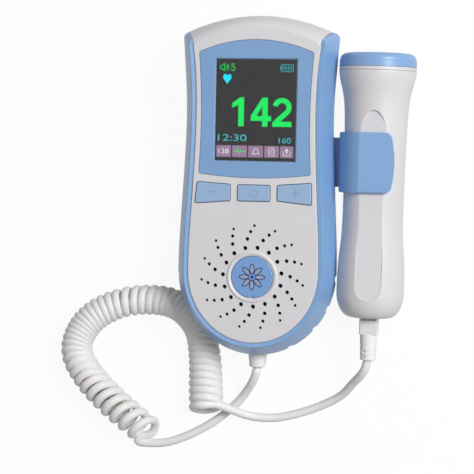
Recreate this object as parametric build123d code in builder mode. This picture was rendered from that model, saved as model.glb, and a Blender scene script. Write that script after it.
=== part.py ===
from build123d import *
import os
from math import cos, pi, radians, sin, sqrt, tan

# Fetal doppler monitor: a handheld main unit, a probe held in a clip at its side, and the
# curly lead between them. Millimetres. The unit lies on its back: +Z out of its face,
# +Y towards its top end, +X towards the probe. The origin is the middle of its flat back.

# ---------------------------------------------------------------------------
# Driving dimensions
# ---------------------------------------------------------------------------

# Clearances
seam = 0.15              # between fixed pieces that fit into each other
slip = 0.3               # between pieces that move past each other

# Main unit, outer form
unit_thickness = 32.0
split_height = 16.0      # rear housing below, front housing and bumper above
rim_height = 18.5        # the level where the sides are widest
unit_top = 74.1          # Y of the rounded top end
unit_bottom = -74.0      # Y of the rounded bottom end
top_arc_radius = 74.0
corner_radius = 2.5
corner_half_width = 34.4
shoulder_half_width, shoulder_y = 33.5, 54.0
waist_half_width, waist_y = 32.5, 37.0
belly_half_width, belly_y = 32.95, 11.6
hip_half_width, hip_y = 34.25, -13.0
bottom_half_width, bottom_centre_y = 35.05, -36.5

# Flank of the unit, as insets from the rim outline
edge_drop = 0.3          # from the face down to the bumper's ridge
edge_inset = 4.9
flank_curve = (           # between rim and ridge, as shares of the height and of the inset
    (0.11, 0.05),
    (0.5, 0.43),
    (0.92, 0.88),
    (0.98, 0.96),
)
valley_drop = 0.7        # from the face down to where the bumper meets it
face_inset = 6.5         # where the blue bumper meets the white face
under_rim_inset = 1.0
under_rim_round = 1.1    # the rim's rounding starts this far below it
under_rim_share = 0.3    # share of the inset where it starts
rear_top_inset = 1.3
rear_middle_inset, rear_middle_height = 4.4, 7.5
back_inset = 7.4
back_edge_radius = 2.0
back_corner_ease = 1.0   # how much thinner the wall is inside the back's edge

# Walls
shell_wall = 2.2
face_wall = 2.4
face_rim_wall = 1.2      # where the face meets the skirt
bumper_wall = 2.3
face_crown = 1.5         # how much more the face's top end bulges than the rim's
top_end_curve = (        # white top end: drop below the face, inset and share of the crown
    (5.2, 2.2, 0.4),
    (1.2, 5.1, 1.0),
    (0.0, 7.7, 1.0),
)
face_edge = 0.4          # bevel round the white face

# Horns of the bumper beside the top end
horn_centre_x, horn_centre_y = 35.9, 57.6
horn_radius_x, horn_radius_y = 8.8, 10.8

# Grip notches in the bumper, as angles on the bottom ellipse
notch_angles = (-4.8, -25.6, -41.6, -62.9)
notch_radius = 2.6
notch_depth = 0.7
notch_height = 10.0

# Screen
screen_width, screen_length, screen_y = 34.85, 43.56, 32.9
bezel_top_y, bezel_corner_y, bezel_bottom_y = 62.9, 57.5, 3.9
bezel_top_half_width, bezel_waist_half_width, bezel_bottom_half_width = 24.75, 23.55, 24.3
bezel_lower_corner_y = 5.6
bezel_thickness = 0.8
bezel_sink = 0.3         # how far it lies below the face
bezel_corner_radius = 1.1
bezel_chamfer = 0.5
bezel_edge_radius = 0.2
window_thickness = 0.9
window_lip = 1.0         # how far the window reaches past the screen on each side
lcd_width, lcd_length, lcd_thickness = 38.0, 51.0, 5.6
lcd_glass_inset = 0.2
lcd_corner = 1.0

# Buttons
button_travel = 0.8
button_proud = 0.7
button_flange = 0.5
button_flange_thickness = 0.9
button_corner_radius = 0.6
button_edge_radius = 0.5
minus_corners = ((-24.7, 1.8), (-10.35, 0.9), (-10.3, -6.0), (-25.6, -7.4))
power_corners = ((-7.0, 0.8), (7.0, 0.8), (7.0, -6.0), (-7.0, -6.0))
plus_corners = ((10.2, 0.9), (24.8, 2.1), (25.0, -7.2), (10.2, -5.7))

# Speaker and medallion
speaker_y = -38.7
speaker_radius = 24.0
speaker_depth = 8.0
gasket_width = 1.3
gasket_thickness = 0.8
speaker_rim_thickness = 1.2
speaker_ring_wall = 1.2
magnet_radius = 12.0
basket_sheet = 0.5
voice_coil_radius, voice_coil_wall, voice_coil_lift = 9.0, 1.0, 0.3
cone_sheet = 0.6
surround_width = 2.3
hole_arms = 15
hole_rings = (            # radius, diameter and phase of each ring of holes
    (12.8, 1.9, 8.7),
    (16.5, 1.7, 2.3),
    (19.55, 1.5, -3.0),
    (22.15, 1.25, -7.5),
)
medallion_radius = 9.05
medallion_thickness = 1.4
medallion_proud = 0.1    # how far the disc stands above the face
medallion_edge_radius = 0.4
medallion_notch_radius = 0.9
collar_width = 2.1
collar_height = 0.7
collar_crest = 1.3       # from the disc's edge out to the collar's crest
collar_crest_radius = 0.6

# Boards and screws
board_thickness = 1.6
board_half_width, board_top_y, board_bottom_y = 23.2, 65.6, -16.0
board_height = 21.0      # underside of the main board
board_corner = 7.0
keypad_width, keypad_length, keypad_y = 45.0, 13.0, -2.8
keypad_thickness = 1.4
keypad_corner = 2.0
dome_radius = 3.0
dome_bevel = 0.8
plunger_radius, plunger_length = 2.2, 0.9
boss_radius = 2.8
screw_radius = 1.1
screw_head_radius = 2.1
screw_head_height = 1.3
screw_slot_length, screw_slot_width, screw_slot_depth = 2.5, 0.5, 0.7
screw_gap = 0.05         # between a screw's shank and its pilot hole
screw_end_gap = 1.0      # between a screw's end and the bottom of its pilot hole
screw_seat = 4.0         # height of the sunk seat of the housing screws
screw_bite = 8.0
board_screw_bite = 5.0
clip_screw_bite = 6.0
board_boss_radius = 2.3
screw_sites = ((-22.2, 56.0), (22.2, 56.0), (-22.2, -12.8), (22.2, -12.8))
board_screw_sites = ((-15.0, 62.8), (15.0, 62.8), (-12.0, -13.0), (12.0, -13.0))

# Battery box and door
cell_radius = 7.25
cell_length = 49.2
cell_nub_radius, cell_nub_length = 2.75, 1.2
cell_centre_y = 33.9
cell_spacing = 15.2
contact_length = 2.6
box_wall = 1.4
door_thickness = 1.7
door_half_width = 17.2
door_bottom_y = 4.6
door_end_gap = 0.8       # how far the door's end stays inside the top end of the back
groove_bottom = 0.9      # underside of the grooves for the door's tongues
tongue_length, tongue_centre_y = 52.0, 33.0
tongue_reach = 0.9
grip_pitch, grip_width, grip_length, grip_count = 1.8, 0.8, 14.0, 5
grip_depth = 0.4
contact_width, contact_thickness = 9.0, 0.4

# Probe, given as radii along its axis
probe_z = 17.5           # height of the probe's axis
probe_gap = 0.7          # between the unit's widest line and the probe's bulge
head_tuck = 0.65         # how far the head reaches in over the unit's top corner
probe_lean = 0.65        # how far it leans in its clip, in degrees, head outwards
probe_wall = 2.2
head_radius = 16.6
head_top_y = 58.2
cap_crown = 0.5          # how far the head's front bulges
cap_seam_y, ring_y, neck_y = 52.4, 50.9, 50.0
cap_wall = 1.2
cap_step_y, cap_step = 55.2, 0.25
cap_round = 2.8
spigot_length = 2.4
waist_radius = 13.15
bulge_radius, bulge_y = 14.6, -45.0
probe_profile = [
    (head_radius, neck_y),
    (waist_radius + 0.43 * (head_radius - waist_radius), 40.9),
    (waist_radius + 0.13 * (head_radius - waist_radius), 29.5),
    (waist_radius, 6.0),
    (waist_radius + 0.2 * (bulge_radius - waist_radius), -22.0),
    (bulge_radius, bulge_y),
]
probe_bottom_y = -55.5
probe_bottom_radius = 8.5
panel_depth = 1.1
panel_half_width = 5.7
panel_top_y, panel_bottom_y = 33.8, -47.4
panel_arch = 11.0        # length of the pointed arch at its upper end
probe_screw_ys = (30.0, -36.0)
probe_boss_radius = 2.8
probe_screw_seat = 6.6   # height of the sunk seat of the probe's screws
probe_screw_bite = 6.0
crystal_radius, crystal_thickness, crystal_gap = 10.0, 1.2, 1.2
holder_radius, holder_length, holder_flange = 12.0, 6.0, 2.0
probe_board_half_width, probe_board_top_y, probe_board_bottom_y = 10.4, 47.0, -44.0

# Clip
clip_wall = 1.7
clip_play = 0.25         # for the probe's widening inside the clip
clip_length = 25.9
clip_centre_y = 11.4
clip_reach = 9.4         # how far the fingers reach past the probe's axis
clip_tip_radius, clip_back_radius = 3.2, 1.4
arm_length_y, arm_centre_y = 21.4, 11.2
arm_bottom = 9.5
arm_root = 1.1           # how far the arm's root reaches into the clip's wall
foot_x = 26.0            # the foot lies inside this, the full arm outside
foot_width = 5.4
foot_overlap = 1.0       # how far the foot runs under the full arm
foot_thickness = 2.0
clip_screw_x = 23.4
clip_screw_pitch = 12.0
clip_post_radius = 2.4
clip_edge_radius = 1.0
clip_tip_bulge = 1.8

# Cord
cord_diameter = 3.6
coil_diameter = 14.0
boot_height = 11.3       # the cord leaves the unit at this height
boot_root_radius, boot_tip_radius, boot_tip_y = 4.3, 3.5, -80.3
boot_end_radius = 0.8
boot_flange_radius = 5.2
boot_flange_thickness = 1.4
boot_flange_gap = 0.9    # behind the wall, which leans inwards below the flange

# Plug
plug_width, plug_depth = 8.0, 7.0
plug_corner_radius = 0.8
plug_block_length = 6.1
plug_neck_length = 1.4
plug_slot_width, plug_slot_depth = 6.2, 2.4
plug_tongue_width, plug_tongue_depth, plug_tongue_length = 6.0, 4.0, 7.0
plug_boot_length = 11.4
plug_boot_root_radius, plug_boot_tip_radius = 3.75, 3.4
plug_rib_ys = (-68.2, -70.4, -72.8)
plug_rib_width, plug_rib_depth = 0.6, 0.35
plug_slit_length, plug_slit_width, plug_slit_depth = 1.7, 1.0, 1.5
plug_end_radius = 0.5
pin_count, pin_pitch, pin_width, pin_length, pin_thickness = 4, 1.2, 0.6, 4.0, 0.1
pin_start = 1.0
socket_width, socket_depth, socket_length = 11.0, 8.0, 9.0

# The leads' routes, chosen by hand
unit_lead_route = [
    (0.0, -80.3, 11.3),
    (-1.2, -85.7, 10.2),
    (-5.4, -92.2, 4.7),
    (-9.8, -98.1, 2.1),
    (-16.6, -104.2, 1.8),
    (-22.2, -108.5, 1.8),
    (-30.6, -113.8, 1.8),
    (-38.6, -117.2, 1.8),
    (-44.8, -116.6, 1.8),
    (-49.7, -112.8, 1.8),
]
coil_route = [
    (-49.7, -112.8, 7.0),
    (-58.4, -106.6, 7.0),
    (-72.3, -95.2, 7.0),
    (-85.6, -75.6, 7.0),
    (-79.0, -58.5, 7.0),
    (-57.2, -51.8, 7.0),
    (-37.9, -53.4, 7.0),
    (-25.2, -69.8, 7.0),
    (-23.2, -90.0, 7.0),
    (-23.2, -100.1, 7.0),
]
probe_lead_route = [
    (-24.5, -96.4, 12.0),
    (-19.2, -97.5, 11.1),
    (-11.6, -100.8, 7.7),
    (-4.3, -104.1, 3.6),
    (6.6, -104.8, 1.8),
    (17.6, -102.0, 1.8),
    (27.8, -98.0, 2.6),
    (37.4, -92.7, 5.0),
    (42.6, -85.8, 10.4),
    (47.7, -80.2, 16.4),
    (49.3, -75.15, 17.45),
]


# ---------------------------------------------------------------------------
# Sizes that follow from them
# ---------------------------------------------------------------------------

edge_height = unit_thickness - edge_drop
bumper_top = unit_thickness - valley_drop
bumper_profile = [        # height and inset, from the split up to the face
    (split_height, under_rim_inset),
    (rim_height - under_rim_round, under_rim_share * under_rim_inset),
    (rim_height, 0.0),
    *[
        (rim_height + height_share * (edge_height - rim_height), inset_share * edge_inset)
        for height_share, inset_share in flank_curve
    ],
    (edge_height, edge_inset),
    (bumper_top, face_inset),
]
shoulder_height = unit_thickness - face_wall - seam
skirt_inset = under_rim_inset + bumper_wall + seam
inner_face = unit_thickness - face_wall
board_top = board_height + board_thickness
bezel_bed = unit_thickness - bezel_sink - bezel_thickness
window_bed = bezel_bed - window_thickness
lcd_top = inner_face - seam
button_top = unit_thickness + button_proud
flange_top = inner_face - seam
flange_bottom = flange_top - button_flange_thickness
plunger_bottom = flange_bottom - plunger_length
dome_top = plunger_bottom - button_travel - seam
speaker_top = inner_face - gasket_thickness
speaker_bottom = speaker_top - speaker_depth
basket_bottom = speaker_bottom + speaker_depth / 2
cone_radius = speaker_radius - gasket_width - slip
cone_bottom = basket_bottom + basket_sheet
medallion_bed = unit_thickness + medallion_proud - medallion_thickness
collar_radius = medallion_radius + seam + collar_width
door_bottom = slip
door_top = door_bottom + door_thickness
recess_top = door_top + slip
cell_height = recess_top + cell_radius
box_half_width = cell_spacing / 2 + cell_radius + slip
box_half_length = (cell_length + cell_nub_length) / 2 + contact_length
box_top = cell_height + cell_radius + slip
pad_half_width = door_half_width + slip + tongue_reach + box_wall
clip_screw_sites = [
    (clip_screw_x, arm_centre_y - clip_screw_pitch / 2),
    (clip_screw_x, arm_centre_y + clip_screw_pitch / 2),
]
foot_top = arm_bottom + foot_thickness
arm_top = split_height - seam
probe_x = max(            # the probe's axis where the clip holds it
    bottom_half_width + probe_gap + bulge_radius,
    corner_half_width - head_tuck + head_radius,
)
clip_inner = waist_radius + clip_play + slip
clip_outer = clip_inner + clip_wall
finger_inner = probe_z + clip_inner - panel_depth
finger_outer = finger_inner + clip_wall
clip_tip_x = probe_x + clip_reach
boot_root_y = unit_bottom + rear_top_inset
boot_inner_y = unit_bottom + rear_middle_inset + shell_wall + boot_flange_gap
probe_inner_bottom = probe_bottom_y + probe_wall
crystal_y = head_top_y - cap_wall - seam
holder_y = crystal_y - crystal_thickness - holder_length
plug_block_y = probe_bottom_y - plug_neck_length
plug_boot_y = plug_block_y - plug_block_length
plug_end_y = plug_boot_y - plug_boot_length


# ---------------------------------------------------------------------------
# Shared outlines
# ---------------------------------------------------------------------------


def unit_section(height, inset, crown=0.0):
    """The main unit's outline at one height, drawn in by inset; crown lifts the top arc."""
    corner_x = corner_half_width - inset
    arc_radius = top_arc_radius - inset
    corner_y = unit_top - inset - arc_radius + sqrt(arc_radius**2 - corner_x**2)
    right_side = [
        (corner_x, corner_y),
        (shoulder_half_width - inset, shoulder_y),
        (waist_half_width - inset, waist_y),
        (belly_half_width - inset, belly_y),
        (hip_half_width - inset, hip_y),
        (bottom_half_width - inset, bottom_centre_y),
    ]
    left_side = [(-x, y) for x, y in right_side]
    with BuildSketch(Plane.XY.offset(height)) as section:
        with BuildLine():
            ThreePointArc(left_side[0], (0, unit_top - inset + crown), right_side[0])
            Spline(*right_side, tangents=((-0.1, -1), (0, -1)))
            Spline(*left_side, tangents=((0.1, -1), (0, -1)))
            EllipticalCenterArc(
                (0, bottom_centre_y),
                bottom_half_width - inset,
                bottom_centre_y - unit_bottom - inset,
                start_angle=180,
                arc_size=180,
            )
        make_face()
        fillet(section.vertices().sort_by(Axis.Y)[-2:], corner_radius)
    return section.sketch


def bumper_zone(clearance=0.0):
    """Plan of the space that the bumper keeps: all below the horns' rounded ends."""
    with BuildSketch() as zone:
        with Locations((0, 2 * unit_bottom)):
            Rectangle(
                4 * bottom_half_width,
                horn_centre_y - 2 * unit_bottom + clearance,
                align=(Align.CENTER, Align.MIN),
            )
        with Locations((horn_centre_x, horn_centre_y), (-horn_centre_x, horn_centre_y)):
            Ellipse(horn_radius_x + clearance, horn_radius_y + clearance)
    return zone.sketch


def bezel_section(height, grow=0.0):
    """Outline of the blue panel round the screen, or of its bed when grown."""
    top = (bezel_top_half_width + grow, bezel_corner_y + grow)
    waist = (bezel_waist_half_width + grow, waist_y)
    foot = (bezel_bottom_half_width + grow, bezel_lower_corner_y - grow)
    with BuildSketch(Plane.XY.offset(height)) as section:
        with BuildLine():
            ThreePointArc((-top[0], top[1]), (0, bezel_top_y + grow), top)
            for side in (-1, 1):
                ThreePointArc(
                    (side * top[0], top[1]), (side * waist[0], waist[1]), (side * foot[0], foot[1])
                )
            ThreePointArc((-foot[0], foot[1]), (0, bezel_bottom_y - grow), foot)
        make_face()
        fillet(section.vertices(), bezel_corner_radius + grow)
    return section.sketch


def button_section(height, corners, grow=0.0):
    """Outline of a button, or of its opening or flange when grown."""
    with BuildSketch(Plane.XY.offset(height)) as section:
        with BuildLine():
            Polyline(*corners, close=True)
        make_face()
        if grow:
            offset(amount=grow, kind=Kind.INTERSECTION)
        fillet(section.vertices(), button_corner_radius + grow)
    return section.sketch


def centre_of(corners):
    """Middle of a button."""
    return (sum(x for x, y in corners) / len(corners), sum(y for x, y in corners) / len(corners))


def finish(builder, label, lean=0.0):
    """Name a piece and write it to its own file; lean turns it about the clip's middle."""
    piece = builder.part.rotate(Axis((probe_x, clip_centre_y, 0), (0, 0, 1)), -lean)
    piece.label = label
    export_step(piece, f"parts/{label}.step")


os.makedirs("parts", exist_ok=True)
button_shapes = {
    "minus_button": minus_corners,
    "power_button": power_corners,
    "plus_button": plus_corners,
}

# ---------------------------------------------------------------------------
# Main unit: housings
# ---------------------------------------------------------------------------

with BuildPart() as side_bumper:
    loft(sections=[unit_section(height, inset) for height, inset in bumper_profile], ruled=True)
    loft(
        sections=[
            unit_section(split_height, under_rim_inset + bumper_wall),
            unit_section(shoulder_height, face_inset),
        ],
        mode=Mode.SUBTRACT,
    )
    extrude(unit_section(shoulder_height, face_inset), amount=face_wall * 2, mode=Mode.SUBTRACT)
    extrude(bumper_zone(), amount=unit_thickness * 2, mode=Mode.INTERSECT)
    # upright grip notches round the bottom end, on both sides
    notch_sites = [
        (
            side * (bottom_half_width + notch_radius - notch_depth) * cos(radians(angle)),
            bottom_centre_y
            + (bottom_centre_y - unit_bottom + notch_radius - notch_depth) * sin(radians(angle)),
        )
        for side in (-1, 1)
        for angle in notch_angles
    ]
    with BuildSketch(Plane.XY.offset(split_height)):
        with Locations(*notch_sites):
            Circle(notch_radius)
    extrude(amount=notch_height, mode=Mode.SUBTRACT)

finish(side_bumper, "side_bumper")

with BuildPart() as top_end:
    loft(
        sections=[
            unit_section(split_height, under_rim_inset),
            unit_section(rim_height, 2 * seam),
            *[
                unit_section(unit_thickness - drop, inset, share * face_crown)
                for drop, inset, share in top_end_curve
            ],
        ]
    )
    extrude(bumper_zone(seam), amount=unit_thickness * 2, mode=Mode.SUBTRACT)

with BuildPart() as front_housing:
    loft(
        sections=[
            unit_section(split_height, skirt_inset),
            unit_section(shoulder_height - seam, face_inset + seam),
        ]
    )
    extrude(
        unit_section(shoulder_height - seam, face_inset + seam),
        amount=face_wall + 2 * seam - face_edge,
    )
    loft(
        sections=[
            unit_section(unit_thickness - face_edge, face_inset + seam),
            unit_section(unit_thickness, face_inset + seam + face_edge),
        ]
    )
    add(top_end.part)
    loft(
        sections=[
            unit_section(split_height, skirt_inset + shell_wall, skirt_inset - under_rim_inset),
            unit_section(inner_face, face_inset + seam + face_rim_wall, face_crown),
        ],
        mode=Mode.SUBTRACT,
    )
    # bosses for the housing and board screws, and the ring round the speaker
    with BuildSketch(Plane.XY.offset(split_height)):
        with Locations(*screw_sites):
            Circle(boss_radius)
    extrude(amount=inner_face - split_height + face_wall / 2)
    with BuildSketch(Plane.XY.offset(board_top)):
        with Locations(*board_screw_sites):
            Circle(board_boss_radius)
    extrude(amount=inner_face - board_top + face_wall / 2)
    with BuildSketch(Plane((0, speaker_y, speaker_top - speaker_rim_thickness))):
        Circle(speaker_radius + seam + speaker_ring_wall)
        Circle(speaker_radius + seam, mode=Mode.SUBTRACT)
    extrude(amount=gasket_thickness + speaker_rim_thickness + face_wall / 2)
    # collar and bed of the medallion
    with BuildSketch(Plane((0, speaker_y, 0), x_dir=(1, 0, 0), z_dir=(0, -1, 0))) as collar:
        with BuildLine():
            Polyline(
                (0, unit_thickness - face_wall / 2),
                (collar_radius, unit_thickness - face_wall / 2),
                (collar_radius, unit_thickness),
                (medallion_radius + collar_crest, unit_thickness + collar_height),
                (medallion_radius, unit_thickness),
                (0, unit_thickness),
                close=True,
            )
        make_face()
        fillet(collar.vertices().sort_by(Axis.Y)[-1], collar_crest_radius)
    revolve(axis=Axis((0, speaker_y, 0), (0, 0, 1)))
    with BuildSketch(Plane((0, speaker_y, medallion_bed))):
        Circle(medallion_radius + seam)
    extrude(amount=medallion_thickness + collar_height, mode=Mode.SUBTRACT)
    # screen: bed of the blue panel, bed of the window, and the aperture
    extrude(bezel_section(bezel_bed, seam), amount=2 * bezel_thickness, mode=Mode.SUBTRACT)
    with BuildSketch(Plane((0, screen_y, window_bed))):
        Rectangle(
            screen_width + 2 * (window_lip + seam), screen_length + 2 * (window_lip + seam)
        )
    extrude(amount=window_thickness, mode=Mode.SUBTRACT)
    with BuildSketch(Plane((0, screen_y, inner_face))):
        Rectangle(screen_width, screen_length)
    extrude(amount=face_wall, mode=Mode.SUBTRACT)
    for corners in button_shapes.values():
        extrude(
            button_section(inner_face, corners, slip), amount=face_wall * 2, mode=Mode.SUBTRACT
        )
    # speaker holes: each arm of holes swirls outwards
    for ring_radius, hole_diameter, phase in hole_rings:
        with BuildSketch(Plane((0, speaker_y, inner_face))):
            with PolarLocations(ring_radius, hole_arms, start_angle=phase):
                Circle(hole_diameter / 2)
        extrude(amount=face_wall, mode=Mode.SUBTRACT)
    # pilot holes
    with BuildSketch(Plane.XY.offset(split_height)):
        with Locations(*screw_sites):
            Circle(screw_radius + screw_gap)
    extrude(amount=screw_bite, mode=Mode.SUBTRACT)
    with BuildSketch(Plane.XY.offset(board_top)):
        with Locations(*board_screw_sites):
            Circle(screw_radius + screw_gap)
    extrude(amount=board_screw_bite, mode=Mode.SUBTRACT)

finish(front_housing, "front_housing")

with BuildPart() as rear_housing:
    loft(
        sections=[
            unit_section(0, back_inset),
            unit_section(rear_middle_height, rear_middle_inset),
            unit_section(split_height, rear_top_inset),
        ]
    )
    fillet(rear_housing.edges().group_by(Axis.Z)[0], back_edge_radius)
    loft(
        sections=[
            unit_section(shell_wall, back_inset + shell_wall - back_corner_ease),
            unit_section(rear_middle_height, rear_middle_inset + shell_wall),
            unit_section(split_height, rear_top_inset + shell_wall),
        ],
        mode=Mode.SUBTRACT,
    )
    # pad with the door's rails, and the battery box above it
    with BuildSketch(Plane.XY.offset(shell_wall / 2)):
        with BuildLine():
            Polyline(
                (-pad_half_width, door_bottom_y - box_wall - slip),
                (pad_half_width, door_bottom_y - box_wall - slip),
                (pad_half_width, unit_top),
                (-pad_half_width, unit_top),
                close=True,
            )
        make_face()
        add(unit_section(0, back_inset + box_wall).face(), mode=Mode.INTERSECT)
    extrude(amount=recess_top + box_wall - shell_wall / 2)
    with BuildSketch(Plane((0, cell_centre_y, recess_top))):
        Rectangle(2 * (box_half_width + box_wall), 2 * (box_half_length + box_wall))
    extrude(amount=box_top + box_wall - recess_top)
    with BuildSketch(Plane((0, cell_centre_y, 0))):
        Rectangle(2 * box_half_width, 2 * box_half_length)
    extrude(amount=box_top, mode=Mode.SUBTRACT)
    # the door's recess runs out through the top end, with a groove for its tongues
    with BuildSketch(Plane.XY):
        with Locations((0, door_bottom_y - slip)):
            Rectangle(
                2 * (door_half_width + slip), unit_top, align=(Align.CENTER, Align.MIN)
            )
    extrude(amount=recess_top, mode=Mode.SUBTRACT)
    with BuildSketch(Plane.XY.offset(groove_bottom)):
        with Locations((0, door_bottom_y - slip)):
            Rectangle(
                2 * (door_half_width + tongue_reach + slip),
                unit_top,
                align=(Align.CENTER, Align.MIN),
            )
    extrude(amount=recess_top - groove_bottom, mode=Mode.SUBTRACT)
    # bosses for the housing screws, with heads sunk in the back
    with BuildSketch(Plane.XY.offset(shell_wall / 2)):
        with Locations(*screw_sites):
            Circle(boss_radius)
    extrude(amount=split_height - shell_wall / 2)
    with BuildSketch(Plane.XY):
        with Locations(*screw_sites):
            Circle(screw_head_radius + slip)
    extrude(amount=screw_seat, mode=Mode.SUBTRACT)
    with BuildSketch(Plane.XY):
        with Locations(*screw_sites):
            Circle(screw_radius + slip)
    extrude(amount=split_height, mode=Mode.SUBTRACT)
    # posts and side slot for the clip's foot
    with BuildSketch(Plane.XY.offset(shell_wall / 2)):
        with Locations(*clip_screw_sites):
            Circle(clip_post_radius)
    extrude(amount=arm_bottom - shell_wall / 2)
    with BuildSketch(Plane.XY.offset(arm_bottom)):
        with Locations(*clip_screw_sites):
            Circle(screw_radius + screw_gap)
    extrude(amount=-clip_screw_bite, mode=Mode.SUBTRACT)
    with BuildSketch(Plane((foot_x, arm_centre_y, arm_bottom - seam))):
        Rectangle(
            bottom_half_width, arm_length_y + 2 * seam, align=(Align.MIN, Align.CENTER)
        )
    extrude(amount=split_height - arm_bottom + seam, mode=Mode.SUBTRACT)
    # inlet of the cord's strain relief
    with BuildSketch(Plane((0, bottom_centre_y, boot_height), x_dir=(1, 0, 0), z_dir=(0, -1, 0))):
        Circle(boot_root_radius + seam)
    extrude(amount=-unit_bottom, mode=Mode.SUBTRACT)

finish(rear_housing, "rear_housing")

with BuildPart() as battery_door:
    with BuildSketch(Plane.XY.offset(door_bottom)):
        with Locations((0, door_bottom_y)):
            Rectangle(2 * door_half_width, unit_top, align=(Align.CENTER, Align.MIN))
        add(unit_section(0, back_inset + door_end_gap).face(), mode=Mode.INTERSECT)
    extrude(amount=door_thickness)
    with BuildSketch(Plane.XY.offset(groove_bottom + slip)):
        with Locations((0, tongue_centre_y)):
            Rectangle(2 * (door_half_width + tongue_reach), tongue_length)
    extrude(amount=door_top - groove_bottom - slip)
    with BuildSketch(Plane.XY.offset(door_bottom)):
        with Locations((0, door_bottom_y + grip_pitch * grip_count)):
            with GridLocations(0, grip_pitch, 1, grip_count):
                Rectangle(grip_length, grip_width)
    extrude(amount=grip_depth, mode=Mode.SUBTRACT)

finish(battery_door, "battery_door")

# ---------------------------------------------------------------------------
# Main unit: screen, buttons and medallion
# ---------------------------------------------------------------------------

with BuildPart() as screen_bezel:
    extrude(bezel_section(bezel_bed), amount=bezel_thickness)
    with BuildSketch(Plane((0, screen_y, bezel_bed))):
        Rectangle(screen_width, screen_length)
    extrude(amount=bezel_thickness, mode=Mode.SUBTRACT)
    chamfer(screen_bezel.faces().sort_by(Axis.Z)[-1].inner_wires().edges(), bezel_chamfer)
    fillet(screen_bezel.faces().sort_by(Axis.Z)[-1].outer_wire().edges(), bezel_edge_radius)

finish(screen_bezel, "screen_bezel")

with BuildPart() as display_window:
    with BuildSketch(Plane((0, screen_y, window_bed))):
        Rectangle(screen_width + 2 * window_lip, screen_length + 2 * window_lip)
    extrude(amount=window_thickness)

finish(display_window, "display_window")

with BuildPart() as lcd_module:
    with BuildSketch(Plane((0, screen_y, lcd_top))):
        Rectangle(lcd_width, lcd_length)
    extrude(amount=-lcd_thickness)
    with BuildSketch(Plane((0, screen_y, lcd_top))):
        Rectangle(screen_width - 2 * lcd_glass_inset, screen_length - 2 * lcd_glass_inset)
    extrude(amount=window_bed - seam - lcd_top)
    chamfer(lcd_module.edges().filter_by(Axis.Z).group_by(Axis.Z)[0], lcd_corner)

finish(lcd_module, "lcd_module")

for label, corners in button_shapes.items():
    with BuildPart() as button:
        extrude(button_section(flange_top, corners), amount=button_top - flange_top)
        fillet(button.faces().sort_by(Axis.Z)[-1].edges(), button_edge_radius)
        extrude(
            button_section(flange_top, corners, button_flange), amount=-button_flange_thickness
        )
        with BuildSketch(Plane((*centre_of(corners), flange_bottom))):
            Circle(plunger_radius)
        extrude(amount=plunger_bottom - flange_bottom)
    finish(button, label)

with BuildPart() as medallion:
    with BuildSketch(Plane((0, speaker_y, medallion_bed))):
        Circle(medallion_radius)
        with Locations((0, -medallion_radius)):
            Circle(medallion_notch_radius, mode=Mode.SUBTRACT)
    extrude(amount=medallion_thickness)
    fillet(medallion.faces().sort_by(Axis.Z)[-1].edges(), medallion_edge_radius)

finish(medallion, "medallion")

# ---------------------------------------------------------------------------
# Main unit: what it holds inside
# ---------------------------------------------------------------------------

with BuildPart() as speaker_gasket:
    with BuildSketch(Plane((0, speaker_y, speaker_top))):
        Circle(speaker_radius)
        Circle(speaker_radius - gasket_width, mode=Mode.SUBTRACT)
    extrude(amount=gasket_thickness)

finish(speaker_gasket, "speaker_gasket")

with BuildPart() as speaker_frame:
    with BuildSketch(Plane((0, speaker_y, 0), x_dir=(1, 0, 0), z_dir=(0, -1, 0))):
        with BuildLine():
            Polyline(
                (0, speaker_bottom),
                (magnet_radius, speaker_bottom),
                (magnet_radius, basket_bottom),
                (speaker_radius - 2 * basket_sheet, speaker_top - speaker_rim_thickness),
                (speaker_radius, speaker_top - speaker_rim_thickness),
                (speaker_radius, speaker_top),
                (speaker_radius - gasket_width, speaker_top),
                (speaker_radius - gasket_width, speaker_top - basket_sheet),
                (magnet_radius - 2 * basket_sheet, basket_bottom + basket_sheet),
                (0, basket_bottom + basket_sheet),
                close=True,
            )
        make_face()
    revolve(axis=Axis((0, speaker_y, 0), (0, 0, 1)))

finish(speaker_frame, "speaker_frame")

with BuildPart() as speaker_cone:
    with BuildSketch(Plane((0, speaker_y, 0), x_dir=(1, 0, 0), z_dir=(0, -1, 0))):
        with BuildLine():
            Polyline(
                (0, cone_bottom),
                (voice_coil_radius, cone_bottom),
                (voice_coil_radius, cone_bottom + voice_coil_lift),
                (cone_radius, speaker_top - slip),
                (cone_radius - surround_width, speaker_top - slip),
                (voice_coil_radius - voice_coil_wall, cone_bottom + voice_coil_lift + cone_sheet),
                (0, cone_bottom + voice_coil_lift + cone_sheet),
                close=True,
            )
        make_face()
    revolve(axis=Axis((0, speaker_y, 0), (0, 0, 1)))

finish(speaker_cone, "speaker_cone")

with BuildPart() as main_board:
    with BuildSketch(Plane.XY.offset(board_height)):
        with BuildLine():
            Polyline(
                (-board_half_width, board_bottom_y),
                (board_half_width, board_bottom_y),
                (board_half_width, board_top_y - board_corner),
                (board_half_width - board_corner, board_top_y),
                (-board_half_width + board_corner, board_top_y),
                (-board_half_width, board_top_y - board_corner),
                close=True,
            )
        make_face()
        with Locations(*screw_sites):
            Circle(boss_radius + slip, mode=Mode.SUBTRACT)
        with Locations(*board_screw_sites):
            Circle(screw_radius + slip, mode=Mode.SUBTRACT)
    extrude(amount=board_thickness)

finish(main_board, "main_board")

with BuildPart() as keypad:
    with BuildSketch(Plane((0, keypad_y, board_top))):
        RectangleRounded(keypad_width, keypad_length, keypad_corner)
    extrude(amount=keypad_thickness)
    with BuildSketch(Plane.XY.offset(board_top)):
        with Locations(*[centre_of(corners) for corners in button_shapes.values()]):
            Circle(dome_radius)
    extrude(amount=dome_top - board_top)
    chamfer(keypad.faces().group_by(Axis.Z)[-1].edges(), dome_bevel)

finish(keypad, "keypad")

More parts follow.
